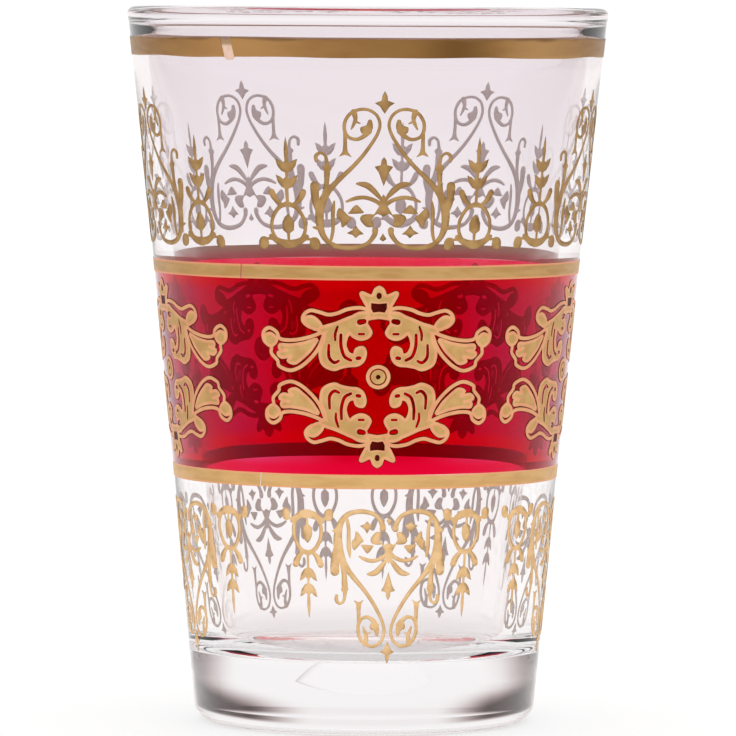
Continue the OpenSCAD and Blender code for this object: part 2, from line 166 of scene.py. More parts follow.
def piece(bm, name, node, slot, *finishes, sharp=SHARP_TURN):
    """Makes a bmesh an object that stands in for its CAD node and rides with it. Edges sharper than
    sharp aren't smoothed over."""
    mesh = bpy.data.meshes.new(name)
    bm.to_mesh(mesh)
    bm.free()
    mesh.shade_smooth()
    mesh.set_sharp_from_angle(angle=sharp)
    for finish in finishes:
        mesh.materials.append(finish.material)
    thing = bpy.data.objects.new(name, mesh)
    bpy.context.scene.collection.objects.link(thing)
    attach(thing, "root")
    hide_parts(node)


class Wire:
    """One output among a material's nodes. Sums on it add Math nodes."""

    def __init__(self, bench, socket):
        self.bench = bench
        self.socket = socket

    def math(self, operation, *values):
        return self.bench.node("ShaderNodeMath", {"operation": operation}, dict(enumerate(values)))

    def __add__(self, other):
        return self.math("ADD", self, other)

    def __radd__(self, other):
        return self.math("ADD", other, self)

    def __sub__(self, other):
        return self.math("SUBTRACT", self, other)

    def __rsub__(self, other):
        return self.math("SUBTRACT", other, self)

    def __mul__(self, other):
        return self.math("MULTIPLY", self, other)

    def __rmul__(self, other):
        return self.math("MULTIPLY", other, self)

    def __lt__(self, other):
        return self.math("LESS_THAN", self, other)

    def __abs__(self):
        return self.math("ABSOLUTE", self)

    def __getitem__(self, part):
        return self.bench.node("ShaderNodeSeparateXYZ", {}, {0: self}, part)

    def soft(self, low, high):
        """0 below low, 1 over high, and a smooth way between."""
        return self.bench.node(
            "ShaderNodeMapRange", {"interpolation_type": "SMOOTHSTEP"}, {"Value": self, 1: low, 2: high}
        )


class Bench:
    """A tree of nodes."""

    def __init__(self, tree):
        self.tree = tree

    def put(self, socket, value):
        if isinstance(value, Wire):
            self.tree.links.new(value.socket, socket)
        else:
            socket.default_value = value

    def node(self, kind, settings, sockets, output=0):
        """One node: its settings are set first, then the values or links of its sockets."""
        made = self.tree.nodes.new(kind)
        for name, value in settings.items():
            setattr(made, name, value)
        for key, value in sockets.items():
            self.put(made.inputs[key], value)
        return Wire(self, made.outputs[output])

    def mix(self, share, first, second):
        return self.node("ShaderNodeMix", {"data_type": "RGBA"}, {"Factor": share, 6: first, 7: second}, 2)


class Finish(Bench):
    """A material: one Principled shader, whose constants are set on its own sockets, and nodes."""

    def __init__(self, name, **sockets):
        self.material = bpy.data.materials.new(name)
        self.material.use_nodes = True
        super().__init__(self.material.node_tree)
        self.shader = self.tree.nodes["Principled BSDF"]
        self.set(**sockets)

    def set(self, **sockets):
        for name, value in sockets.items():
            self.put(self.shader.inputs[name.replace("_", " ").title().replace("Ior", "IOR")], value)

    def place(self):
        return self.node("ShaderNodeTexCoord", {}, {}, "Object")

    def rise(self, low, high):
        """0 under a height, 1 over another."""
        return self.place()[2].soft(low * MM, high * MM)

    def aside(self, low, high):
        """0 near the middle of the front, 1 far to its left and right."""
        return abs(self.place()[0]).soft(low * MM, high * MM)

    def speckle(self, size, detail=2.0, stretch=(1, 1, 1)):
        """Soft noise from 0 to 1 whose blotches are about size millimetres across."""
        scaled = self.node("ShaderNodeMapping", {}, {"Vector": self.place(), "Scale": stretch})
        return self.node(
            "ShaderNodeTexNoise", {}, {"Vector": scaled, "Scale": 1 / (size * MM), "Detail": detail}
        )

    def facing(self):
        """0 where the surface is seen straight on, 1 where it is seen from the side."""
        return self.node("ShaderNodeLayerWeight", {}, {"Blend": 0.5}, 1)

    def bump(self, height, strength, distance):
        return self.node(
            "ShaderNodeBump", {}, {"Height": height, "Strength": strength, "Distance": distance * MM}
        )


def tint(red, green, blue):
    """A colour as a screen shows it, 0 to 255, made ready for a shader."""
    shares = [c / 255 for c in (red, green, blue)]
    return [c / 12.92 if c <= 0.04045 else ((c + 0.055) / 1.055) ** 2.4 for c in shares] + [1.0]


def glass_profile():
    """The half cut through the glass, from the middle of the foot over the lip to the bowl's floor."""
    low_slope = LEAN_OUT - WAIST_IN / RUBY_Z
    high_slope = LEAN_OUT + WAIST_IN / (GLASS_H - RUBY_TOP)
    heel_x = wall_r(HEEL_R) - HEEL_R * math.hypot(1, low_slope)
    punt_r = heel_x - FOOT_RING_W
    punt_sphere_r = (punt_r ** 2 + PUNT_DEPTH ** 2) / (2 * PUNT_DEPTH)
    punt_turn = math.degrees(math.asin(punt_r / punt_sphere_r))
    lip_x = RIM_R - LIP_R
    lip_z = GLASS_H - LIP_R
    round_z = FLOOR_Z + BOWL_ROUND_R
    round_x = bowl_r(round_z) - BOWL_ROUND_R * math.hypot(1, BOWL_SLOPE)
    turn = math.radians(LIP_BLEND_TURN)
    punt = arc(0, PUNT_DEPTH - punt_sphere_r, punt_sphere_r, 90, 90 - punt_turn, 10)
    heel = arc(heel_x, HEEL_R, HEEL_R, -90, -math.degrees(math.atan(low_slope)), 14)
    lip = arc(lip_x, lip_z, LIP_R, -LIP_BLEND_TURN, 180 + LIP_BLEND_TURN, 26)
    bowl_round = arc(round_x, round_z, BOWL_ROUND_R, -math.degrees(math.atan(BOWL_SLOPE)), -90, 16)
    kinks = [(wall_r(z), z) for z in (RUBY_Z, RUBY_TOP, LIP_BLEND_Z)]
    inside_top = (bowl_r(LIP_INSIDE_Z) - LIP_DRAW, LIP_INSIDE_Z)
    inside_draw = (bowl_r(LIP_DRAW_Z), LIP_DRAW_Z)
    up = Vector((high_slope, 1)).normalized()
    down = Vector((-BOWL_SLOPE, -1)).normalized()
    return (
        punt
        + heel
        + line(heel[-1], kinks[0], 10)
        + kinks[:1]
        + line(kinks[0], kinks[1], 8)
        + kinks[1:2]
        + line(kinks[1], kinks[2], 10)
        + kinks[2:]
        + ease(kinks[2], up, lip[0], (math.sin(turn), math.cos(turn)), 6)
        + lip
        + ease(lip[-1], (math.sin(turn), -math.cos(turn)), inside_top, down, 6)
        + [inside_top]
        + line(inside_top, inside_draw, 4)
        + [inside_draw]
        + line(inside_draw, bowl_round[0], 24)
        + bowl_round
        + line(bowl_round[-1], (0, FLOOR_Z), 8)
        + [(0, FLOOR_Z)]
    )


glass_bm = turned(glass_profile(), TURN_STEPS)
for v in glass_bm.verts:
    across = math.hypot(v.co.x, v.co.y) / MM
    height = v.co.z / MM
    if FLOOR_Z - 1 < height < LIP_BLEND_Z and across < bowl_r(height) + 0.5:
        sway = noise.noise(Vector((v.co.x, v.co.y, v.co.z * 0.6)) / (WAVE_SIZE * MM))
        fade = min(1, (LIP_BLEND_Z - height) / WAVE_FADE_H)
        if across > 1:
            v.co.x *= 1 + sway * fade * INSIDE_WAVE / across
            v.co.y *= 1 + sway * fade * INSIDE_WAVE / across
        v.co.z += sway * INSIDE_WAVE / 2 * MM

# The clear glass is faintly rose, most so in the base and near the lip. At its outlines, where it is
# seen edge-on, it is painted a darker, warmer shade.
clear = Finish("clear_soda_glass", transmission_weight=1.0, ior=1.52, roughness=0.0)
clear_patches = clear.speckle(30)
clear_base = clear.mix(clear_patches, tint(241, 238, 239), tint(238, 235, 236))
clear_low = clear.mix(clear_patches, tint(252, 249, 249), tint(249, 246, 246))
clear_high = clear.mix(clear_patches, tint(243, 238, 240), tint(241, 235, 238))
clear_wall = clear.mix(clear.rise(*WALL_TINT_STARTS), clear_low, clear_high)
clear_all = clear.mix(clear.rise(*BASE_TINT_ENDS), clear_base, clear_wall)
clear.set(
    base_color=clear.mix(clear.facing().soft(0.6, 1.0), clear_all, tint(230, 206, 198)),
    specular_tint=(0.3, 0.3, 0.3, 1),
    normal=clear.bump(clear.speckle(9, 1), 0.12, 0.05),
)
piece(glass_bm, "tea_glass_body", "glass_body", "clear_glass", clear)

# The ruby band is a stain, brushed round the middle of the wall and fired into a thin clear red film,
# a shade deeper where the brush laid it on twice and a little thinner along its two edges. Towards the
# left and right of the front it is painted paler and bluer: a painted reflection.
RUBY_T = 0.03
RUBY_SIDE_REFLECTION = (4, 18)
RUBY_THIN_LOW = (RUBY_Z + 0.8, RUBY_Z + 2.2)
RUBY_THIN_TOP = (RUBY_TOP - 1.8, RUBY_TOP - 0.5)
RING_FACE_STEPS = 6
PRINT_GAP = 0.012


def ring_profile(z0, z1, t, round_off):
    """The cut through a flat ring of a print: straight on the glass, its outer edges rounded off."""
    inner = PRINT_GAP
    outer = PRINT_GAP + t
    steps = RING_FACE_STEPS
    face = [(outer, z0 + round_off + (z1 - z0 - 2 * round_off) * i / steps) for i in range(steps + 1)]
    offs = [(inner, z0), (outer - round_off, z0), *face, (outer - round_off, z1), (inner, z1)]
    return [(wall_r(z) + off, z) for off, z in offs]


ruby = Finish("fired_ruby_stain", transmission_weight=1.0, ior=1.02, roughness=0.0, coat_roughness=0.03)
# Towards the left and right of the front the film is painted paler and bluer: a painted reflection.
ruby_deep_with_side_reflection = ruby.mix(ruby.aside(*RUBY_SIDE_REFLECTION), (0.68, 0.0006, 0.02, 1), (0.67, 0.07, 0.22, 1))
ruby_brush = 0.5 * ruby.speckle(9, 3, (1, 1, 0.5)).soft(0.3, 0.7)
ruby_inside = ruby.rise(*RUBY_THIN_LOW) * (1 - ruby.rise(*RUBY_THIN_TOP))
ruby_thin = 1 - (1 - ruby_brush) * (0.2 + 0.8 * ruby_inside)
ruby.set(
    base_color=ruby.mix(ruby_thin, ruby_deep_with_side_reflection, (0.83, 0.002, 0.04, 1)),
    coat_weight=ruby.facing().soft(0.06, 0.85),
)
piece(
    turned(ring_profile(RUBY_Z, RUBY_TOP, RUBY_T, 0.01), TURN_STEPS, closed=True),
    "ruby_film", "ruby_band", "ruby_stain", ruby,
)

# The bright gold: a band under the rim and a line along each edge of the ruby, each a strip of printed
# gold laid once round the glass, whose two ends meet over the seam of the print, left of the front.
GOLD_T = 0.05
# The undersides of the prints glow a little: a painted light.
UNDERSIDE_GLOW = 0.3
SEAM_TURN = math.radians(-40.6)
RIM_BAND_TOP = GLASS_H - 3.8
RIM_BAND_H = 2.3
GOLD_LINE_H = 1.75
GOLD_ROUND_OFF = 0.02
STRIP_WAVE_SIZE = 9
STRIP_END_TURN = 0.002
REFLECTION_SHARE = 0.8


class Gold(Finish):
    """Fired gold: a satin metal, mottled. On its underside, against the glass, the flux of the print
    shows instead, a dull pale skin, which glows a little: painted light standing in for what comes
    through the thin print there."""

    def __init__(self, name, front, mottle, under, roughness, stretch=(1, 1, 1)):
        super().__init__(name)
        normal = self.node("ShaderNodeNewGeometry", {}, {}, "True Normal")
        outward = self.node(
            "ShaderNodeVectorMath", {"operation": "MULTIPLY"}, {0: self.place(), 1: (1, 1, 0)}
        )
        facing = self.node("ShaderNodeVectorMath", {"operation": "DOT_PRODUCT"}, {0: normal, 1: outward}, 1)
        self.below = facing < -0.002
        self.front = self.mix(self.speckle(1.6, 4, stretch).soft(0.35, 0.65), front, mottle)
        self.under = under
        self.dress()
        self.set(
            emission_strength=UNDERSIDE_GLOW,
            metallic=1 - self.below,
            roughness=roughness + 0.12 * self.speckle(0.7, 3),
            normal=self.bump(self.speckle(0.25, 3), 0.25, 0.02),
        )

    def dress(self):
        self.set(
            base_color=self.mix(self.below, self.front, self.under),
            emission_color=self.mix(self.below, (0, 0, 0, 1), self.under),
        )

    def edged(self, z0, z1, width, colour):
        """Another colour along the lower and the upper edge of a strip."""
        reach = (z1 - z0) / 2
        edge = abs(self.place()[2] - (z0 + z1) / 2 * MM).soft((reach - width) * MM, (reach - width / 2) * MM)
        self.front = self.mix(edge, self.front, colour)
        self.dress()

    def topped(self, z, wave, colour):
        """Another colour over a wavy height."""
        height = self.place()[2] + wave * MM * (self.speckle(6, 1) - 0.5)
        self.front = self.mix(height.soft((z - 0.25) * MM, (z + 0.25) * MM), self.front, colour)
        self.dress()

    def reflection_patch(self, x, reach, colour):
        """Mostly another colour in a soft patch about a place across the glass: a painted reflection."""
        near = 1 - abs(self.place()[0] - x * MM).soft(0, reach * MM)
        self.front = self.mix(REFLECTION_SHARE * near, self.front, colour)
        self.dress()

    def backed(self, z0, z1, colour):
        """The underside changes to another colour between two heights."""
        self.under = self.mix(self.rise(z0, z1), self.under, colour)
        self.dress()


def gold_strip(name, node, slot, finish, z0, z1, seam, gap, wave, slant):
    """A strip of gold round the wall. Its ends stand gap millimetres apart at the seam and slant, and
    its edges wave a little, as laid by hand."""
    turn = gap / wall_r((z0 + z1) / 2)
    bm = turned(
        ring_profile(z0, z1, GOLD_T, GOLD_ROUND_OFF), TURN_STEPS, closed=True,
        start=seam + turn / 2, sweep=math.tau - turn,
    )
    middle = (z0 + z1) / 2
    ends = [seam - turn / 2, seam + turn / 2]
    for v in bm.verts:
        z = v.co.z / MM
        side = 2 * (z - middle) / (z1 - z0)
        around = Vector((v.co.x, v.co.y, 0)) / (STRIP_WAVE_SIZE * MM) + Vector((0, 0, 3 * side))
        shift = noise.noise(around) * wave * abs(side)
        v.co.z += shift * MM
        at = math.atan2(v.co.x, -v.co.y)
        if min(abs(at - end) for end in ends) < STRIP_END_TURN:
            at += side * slant / wall_r(z)
        r = math.hypot(v.co.x, v.co.y) + LEAN_OUT * shift * MM
        v.co.xy = (r * math.sin(at), -r * math.cos(at))
    piece(bm, name, node, slot, finish)


FLAT_STREAKS = (0.35, 0.35, 1.6)
# Soft darker and paler patches across the front of the rim band: painted reflections.
RIM_REFLECTIONS = (
    (-17, 13, tint(184, 139, 88)),
    (3, 21, tint(140, 102, 58)),
    (9, 7, tint(104, 72, 38)),
    (20.5, 8, tint(182, 142, 94)),
)
rim_gold = Gold(
    "rim_gold_leaf", front=tint(162, 122, 74), mottle=tint(150, 110, 66), under=tint(180, 146, 120),
    roughness=0.34, stretch=FLAT_STREAKS,
)
for rim_reflection in RIM_REFLECTIONS:
    rim_gold.reflection_patch(*rim_reflection)
rim_gold.topped(RIM_BAND_TOP - 0.1, 0.9, tint(128, 96, 64))
over_gold = Gold(
    "gold_over_ruby", front=tint(198, 158, 104), mottle=tint(184, 142, 88), under=tint(185, 50, 60),
    roughness=0.36, stretch=FLAT_STREAKS,
)
over_gold.edged(RUBY_TOP, RUBY_TOP + GOLD_LINE_H, 0.3, tint(226, 158, 116))
over_gold.backed(RUBY_TOP + 0.2, RUBY_TOP + 1.6, tint(175, 125, 100))
under_gold = Gold(
    "gold_under_ruby", front=tint(220, 178, 120), mottle=tint(208, 164, 106), under=tint(170, 110, 90),
    roughness=0.36, stretch=FLAT_STREAKS,
)
under_gold.edged(RUBY_Z - GOLD_LINE_H, RUBY_Z, 0.25, tint(232, 170, 124))
SMEAR_TURN = SEAM_TURN + 0.02
SMEAR_LEAN = -0.25
gold_strip(
    "rim_band", "rim_gold_band", "rim_gold", rim_gold, RIM_BAND_TOP - RIM_BAND_H, RIM_BAND_TOP,
    seam=SMEAR_TURN, gap=1.5, wave=0.2, slant=SMEAR_LEAN,
)
gold_strip(
    "gold_line_over_ruby", "upper_gold_line", "bright_gold", over_gold, RUBY_TOP, RUBY_TOP + GOLD_LINE_H,
    seam=SEAM_TURN + 0.024, gap=0.14, wave=0.06, slant=0.1,
)
gold_strip(
    "gold_line_under_ruby", "lower_gold_line", "bright_gold", under_gold, RUBY_Z - GOLD_LINE_H, RUBY_Z,
    seam=SEAM_TURN + 0.075, gap=0.1, wave=0.06, slant=0.1,
)

# Where the ends of the rim band meet, a smear of thin pale lustre bridges them and has run down a little.
SMEAR_W = 1.9
SMEAR_T = 0.02
SMEAR_DROP = 0.4
SMEAR_STEPS = 12
smear_turn = SMEAR_W / RIM_R
smear_bm = turned(
    ring_profile(RIM_BAND_TOP - RIM_BAND_H - SMEAR_DROP, RIM_BAND_TOP - 0.2, SMEAR_T, SMEAR_T / 2),
    SMEAR_STEPS, closed=True, start=SMEAR_TURN - smear_turn / 2, sweep=smear_turn,
)
for v in smear_bm.verts:
    at = math.atan2(v.co.x, -v.co.y) - SMEAR_TURN
    z = v.co.z / MM
    drop = max(0, RIM_BAND_TOP - RIM_BAND_H - z)
    at *= 1 - 0.6 * (drop / SMEAR_DROP) ** 2
    side = 2 * (z - RIM_BAND_TOP) / RIM_BAND_H + 1
    at += SMEAR_TURN + side * SMEAR_LEAN / RIM_R
    r = math.hypot(v.co.x, v.co.y)
    v.co.xy = (r * math.sin(at), -r * math.cos(at))
pale_lustre = Gold(
    "pale_lustre_smear", front=tint(238, 206, 188), mottle=tint(224, 190, 168),
    under=tint(220, 200, 190), roughness=0.4,
)
pale_lustre.topped(RIM_BAND_TOP - 0.85, 0.2, tint(172, 142, 108))
piece(smear_bm, "rim_band_smear", "rim_gold_band", "rim_gold", pale_lustre)

# The upper lace is gold printed in five repeats: a standing scroll heart with a finial, a palmette and
# two rosettes, and a tulip sprig on each side of it. Each print is one thin leaf of matt gold, cut out
# flat here and then rolled on the wall. The drawings are counted in squares of a grid.
REPEATS = 5
REPEAT_TURN = math.radians(353.5 / REPEATS)
HEART_SQUARES = (35, 20)
LACE_LINE_W = 0.4
LACE_T = 0.06
UPPER_GAP_LOW = 1.55
UPPER_GAP_TOP = 4
UPPER_ROW_Z = RUBY_TOP + GOLD_LINE_H + UPPER_GAP_LOW
UPPER_ROW_H = RIM_BAND_TOP - RIM_BAND_H - UPPER_GAP_TOP - UPPER_ROW_Z
SPRIG_SQUARES_ASIDE = 12.2
SPRIG_TURN = SPRIG_SQUARES_ASIDE * REPEAT_TURN / HEART_SQUARES[0]
CELL = 0.5
ROUND_SIDES = 10
ROUND_FIT = 0.98
LEAST_WIDTH = 0.2
SLIVER = 1e-5
HEART_STROKES = [
    [
        (1.0, 2.9, 2.0), (1.1, 2.3, 1.6), (1.9, 1.3, 1.3), (3.2, 0.8, 1.4), (4.9, 0.7, 1.5),
        (6.5, 1.1, 1.6), (7.5, 2.0, 1.8), (8.0, 3.4, 2.4), (8.0, 5.2, 2.8), (7.4, 6.9, 2.4),
        (6.5, 8.1, 1.8), (5.3, 9.3, 1.5), (4.0, 10.5, 1.3), (2.8, 11.8, 1.2), (1.75, 13.2, 1.1),
        (0.85, 14.7, 1.0), (0.55, 15.9, 0.95), (0.95, 17.0, 0.95), (1.9, 17.65, 0.95), (3.0, 17.7, 1.0),
        (4.1, 17.2, 1.05), (4.75, 16.2, 1.05), (4.8, 15.1, 1.1), (4.3, 14.3, 1.0), (3.3, 14.05, 1.1),
        (2.4, 14.5, 1.4), (1.85, 15.1, 1.9),
    ],
    [(3.7, 17.4, 1.9), (3.5, 16.6, 1.3), (3.7, 15.9, 1.0), (4.0, 15.3, 0.5)],
    [(3.6, 16.3, 1.0), (2.95, 16.0, 0.4)],
    [(4.85, 15.6, 0.8), (4.75, 14.4, 1.1), (4.75, 13.2, 1.2), (4.75, 12.5, 1.7)],
    [(6.6, 1.7, 1.0), (6.35, 2.9, 1.1), (6.35, 4.4, 1.2), (6.3, 5.4, 1.3), (6.15, 6.4, 0.6)],
    [(0.2, 6.6, 0.8), (1.0, 7.5, 1.6), (1.9, 8.3, 1.9), (2.7, 8.55, 1.5), (3.3, 8.6, 0.7)],
    [(0.2, 5.9, 1.2), (1.0, 6.5, 1.3), (2.3, 6.9, 1.2), (3.5, 6.8, 1.2), (4.6, 6.4, 0.7)],
    [(8.2, 5.0, 1.4), (8.5, 6.3, 2.3), (8.6, 7.4, 2.6), (8.6, 8.3, 2.9)],
    [
        (7.4, 7.0, 1.8), (7.1, 8.6, 1.5), (7.0, 10.2, 1.9), (7.0, 11.2, 1.1), (7.2, 12.0, 0.9),
        (7.8, 12.35, 0.9), (8.35, 12.0, 1.2), (8.35, 11.4, 1.1),
    ],
    [(7.8, 3.0, 1.5), (8.4, 3.1, 1.1), (8.9, 3.2, 0.5)],
]
HEART_BLOBS = [
    [(1.4, 15.4), (1.55, 16.4), (1.95, 16.4), (2.2, 15.8), (2.9, 15.5), (2.75, 14.8), (2.0, 14.6)],
    [(3.4, 6.0), (4.2, 5.2), (4.4, 4.9), (3.4, 4.9), (2.5, 5.0), (2.6, 5.3)],
    [(2.5, 4.8), (2.9, 4.2), (2.1, 3.3), (1.2, 3.4), (1.4, 4.2), (1.1, 4.8)],
    [(4.4, 4.7), (5.5, 5.6), (5.9, 4.6), (5.4, 4.0), (5.2, 3.2), (4.6, 3.6), (4.0, 4.4)],
    [(6.4, 10.5), (7.0, 9.9), (7.6, 10.6), (7.0, 11.0)],
]
HEART_CUTS = [
    [(3.95, 11.85), (4.75, 12.15), (5.55, 11.9), (5.1, 12.5), (4.75, 12.9), (4.4, 12.5)],
    [
        (3.45, 3.5), (3.9, 2.9), (4.6, 2.5), (3.9, 2.3), (3.45, 1.9), (3.0, 2.3), (2.4, 2.4), (3.1, 3.0),
    ],
]
HEART_MIDDLES = [
    [(0, 17.2), (0.6, 18.1), (1.2, 18.5), (0.4, 18.8), (0.3, 19.4), (0, 20)],
    [(0, 8.3), (0.35, 9.2), (0.65, 10.0), (1.15, 10.7), (0.4, 10.9), (0.3, 11.5), (0, 11.9)],
    [(0, 4.6), (0.7, 4.9), (1.3, 4.6), (0.8, 5.4), (0.45, 6.0), (0.5, 6.7), (0, 7.3)],
    [(0, 1.5), (0.45, 1.8), (0.2, 2.2), (0, 2.5)],
]
SPRIG_STROKES = [
    [(0.7, 5.9, 1.0), (1.3, 6.3, 1.4), (1.8, 6.9, 2.0), (2.1, 7.5, 2.0)],
    [
        (1.6, 1.6, 1.0), (2.2, 2.6, 1.1), (2.2, 3.9, 1.1), (1.6, 5.1, 1.2), (0.8, 5.8, 1.4),
        (-0.3, 6.0, 1.5),
    ],
    [(2.4, 2.0, 1.6), (1.6, 1.5, 2.0), (0.9, 1.2, 2.4), (-0.3, 1.05, 2.6)],
    [(2.0, 1.7, 1.0), (2.8, 1.7, 0.8), (3.4, 1.6, 1.4)],
]
SPRIG_BALL = [(3.1, 1.9), (3.8, 1.9), (4.2, 1.3), (4.1, 0.6), (3.5, 0.4), (2.9, 0.7), (2.8, 1.3)]
SPRIG_MIDDLES = [
    [(0, 5.8), (0.2, 5.9), (0.18, 8.0), (0.18, 10.8), (0.27, 12.6), (0.16, 13.6), (0, 14.3)],
    [(0, 1.2), (0.15, 1.3), (0.2, 2.4), (0.75, 2.8), (0.8, 3.7), (0.45, 4.4), (0, 4.8)],
]
TULIP = [(0, -0.1), (0.7, 0.2), (1.2, 0.8), (1.45, 1.7), (0.9, 1.5), (0.5, 1.2), (0, 1.5)]
TULIP_UPS = (7.9, 9.9)


def bowed(table, steps=5, closed=False):
    """A smooth curve through the points of a table."""
    p = [Vector(row) for row in table]
    n = len(p)
    out = []
    for i in range(n if closed else n - 1):
        if closed:
            a, b, c, d = p[i - 1], p[i], p[(i + 1) % n], p[(i + 2) % n]
        else:
            a, b, c, d = p[max(i - 1, 0)], p[i], p[i + 1], p[min(i + 2, n - 1)]
        for k in range(steps):
            t = k / steps
            out.append((2 * b + (c - a) * t + (2 * a - 5 * b + 4 * c - d) * t ** 2
                        + (3 * b - 3 * c + d - a) * t ** 3) / 2)
    return out if closed else out + [p[-1]]


def ccw(shape):
    """The shape with its points in counter-clockwise order."""
    area = sum(a.x * b.y - b.x * a.y for a, b in zip(shape, shape[1:] + shape[:1]))
    return shape if area > 0 else shape[::-1]


class Row:
    """A row of the print: where it stands on the wall, and how big the squares of its drawings are. Its
    drawings are true to size at one share of its height."""

    def __init__(self, foot, height, squares, line_w, slim=1.0, true_at=0.5):
        self.r = wall_r(foot + true_at * height)
        self.foot = foot
        self.w = self.r * REPEAT_TURN / squares[0] * slim
        self.h = height / squares[1]
        self.line_w = line_w

    def at(self, p, side):
        """A point of a drawing on the flat sheet, on the right of its middle line or on the left."""
        return Vector((side * p[0] * self.w, self.foot + p[1] * self.h))

    def blob(self, table, side=1, steps=4):
        """A shape with a smooth outline."""
        return [ccw([self.at(p, side) for p in bowed(table, steps, closed=True)])]

    def cut(self, table, side=1):
        """A shape with straight sides."""
        return [ccw([self.at(p, side) for p in table])]

    def whole(self, table, up=0.0):
        """A shape across the middle line, from its right half."""
        half = [(x, y + up) for x, y in table]
        other = [(-x, y) for x, y in reversed(half) if x > 0]
        return [ccw([self.at(p, 1) for p in half + other])]

    def stroke(self, table, side=1, width=None, closed=False, steps=5):
        """A brush stroke whose width swells and tapers, as small triangles, with round ends."""
        width = width or self.line_w
        rows = [row if len(row) == 3 else (*row, 1.0) for row in table]
        path = [
            (self.at(p, side), max(p.z, LEAST_WIDTH) * width / 2) for p in bowed(rows, steps, closed)
        ]
        if closed:
            path.append(path[0])
        out = []
        edges = []
        for i, (spot, half) in enumerate(path):
            before = path[i - 1][0] if i else (path[-2][0] if closed else spot)
            after = path[i + 1][0] if i + 1 < len(path) else (path[1][0] if closed else spot)
            way = (after - before).normalized()
            off = Vector((-way.y, way.x)) * half
            edges.append((spot + off, spot - off))
        for (a, b), (c, d) in zip(edges, edges[1:]):
            for shape in ([a, b, d], [a, d, c]):
                if abs((shape[1] - shape[0]).cross(shape[2] - shape[0])) > SLIVER:
                    out.append(ccw(shape))
        if not closed:
            angles = [k * math.tau / ROUND_SIDES for k in range(ROUND_SIDES)]
            for spot, half in (path[0], path[-1]):
                out.append([spot + Vector((math.cos(a), math.sin(a))) * half * ROUND_FIT for a in angles])
        return out


def holds(shape, spot):
    """Whether a flat shape has the spot inside."""
    inside = False
    for a, b in zip(shape, shape[1:] + shape[:1]):
        if (a.y > spot.y) != (b.y > spot.y):
            if spot.x < a.x + (b.x - a.x) * (spot.y - a.y) / (b.y - a.y):
                inside = not inside
    return inside


def gold_leaf(parts, holes, thickness):
    """Unites flat shapes in one thin sheet, less its holes. A part of the drawing is its shapes and the
    pale edges on them. An edge doesn't show where it runs into the inside of another part. The shapes
    are sorted into cells, which makes it quick to find those near a triangle, and a loose point in one
    cell of five keeps the triangles small enough to bend with the wall."""
    listed = [(shape, "hole", 0) for shape in holes]
    for number, (shapes, edges) in enumerate(parts):
        listed += [(shape, "inside", number) for shape in shapes]
        listed += [(shape, "edge", number) for shape in edges]
    points, faces, cells = [], [], {}
    for k, (shape, _, _) in enumerate(listed):
        faces.append(list(range(len(points), len(points) + len(shape))))
        points += shape
        columns = [int(p.x // CELL) for p in shape]
        levels = [int(p.y // CELL) for p in shape]
        for i in range(min(columns), max(columns) + 1):
            for j in range(min(levels), max(levels) + 1):
                cells.setdefault((i, j), []).append(k)
    points += [
        Vector(((i + 0.5) * CELL, (j + 0.37) * CELL)) for i, j in sorted(cells) if (i + 3 * j) % 5 == 0
    ]
    spots, _, triangles, *_ = delaunay_2d_cdt(points, [], faces, 0, SLIVER)
    bm = bmesh.new()
    verts = [bm.verts.new((p.x, p.y, 0)) for p in spots]
    for triangle in triangles:
        spot = sum((spots[k] for k in triangle), Vector((0, 0))) / 3
        near = cells.get((int(spot.x // CELL), int(spot.y // CELL)), ())
        here = {listed[k][1:] for k in near if holds(listed[k][0], spot)}
        if not here or ("hole", 0) in here:
            continue
        edges = {number for kind, number in here if kind == "edge"}
        insides = {number for kind, number in here if kind == "inside"}
        face = bm.faces.new([verts[k] for k in triangle])
        face.material_index = int(bool(edges) and not insides - edges)
    bmesh.ops.delete(bm, geom=[v for v in bm.verts if not v.link_faces], context="VERTS")
    bmesh.ops.recalc_face_normals(bm, faces=bm.faces[:])
    bmesh.ops.solidify(bm, geom=bm.faces[:], thickness=thickness)
    bmesh.ops.recalc_face_normals(bm, faces=bm.faces[:])
    return bm


def rolled(leaf, row, turn, under, name, node, slot, *finishes, sharp=math.pi):
    """Rolls a copy of a flat leaf on the wall at some turn, over what lies under it."""
    bm = leaf.copy()
    low = min(v.co.z for v in bm.verts)
    for v in bm.verts:
        angle = turn + v.co.x / row.r
        r = wall_r(v.co.y) + PRINT_GAP + under + v.co.z - low
        v.co = Vector((r * math.sin(angle), -r * math.cos(angle), v.co.y)) * MM
    bmesh.ops.recalc_face_normals(bm, faces=bm.faces[:])
    piece(bm, name, node, slot, *finishes, sharp=sharp)


def heart_leaf(row):
    """A scroll heart with its palmette and rosettes, cut out flat."""
    shapes = []
    for side in (-1, 1):
        for stroke in HEART_STROKES:
            shapes += row.stroke(stroke, side)
        for blob in HEART_BLOBS:
            shapes += row.blob(blob, side)
        for cut in HEART_CUTS:
            shapes += row.cut(cut, side)
    for middle in HEART_MIDDLES:
        shapes += row.whole(middle)
    return gold_leaf([(shapes, [])], [], LACE_T)


def sprig_leaf(row):
    """A tulip sprig on its ring, cut out flat."""
    shapes = []
    for side in (-1, 1):
        for stroke in SPRIG_STROKES:
            shapes += row.stroke(stroke, side)
        shapes += row.blob(SPRIG_BALL, side)
    for middle in SPRIG_MIDDLES:
        shapes += row.whole(middle)
    for up in TULIP_UPS:
        shapes += row.whole(TULIP, up)
    return gold_leaf([(shapes, [])], [], LACE_T)


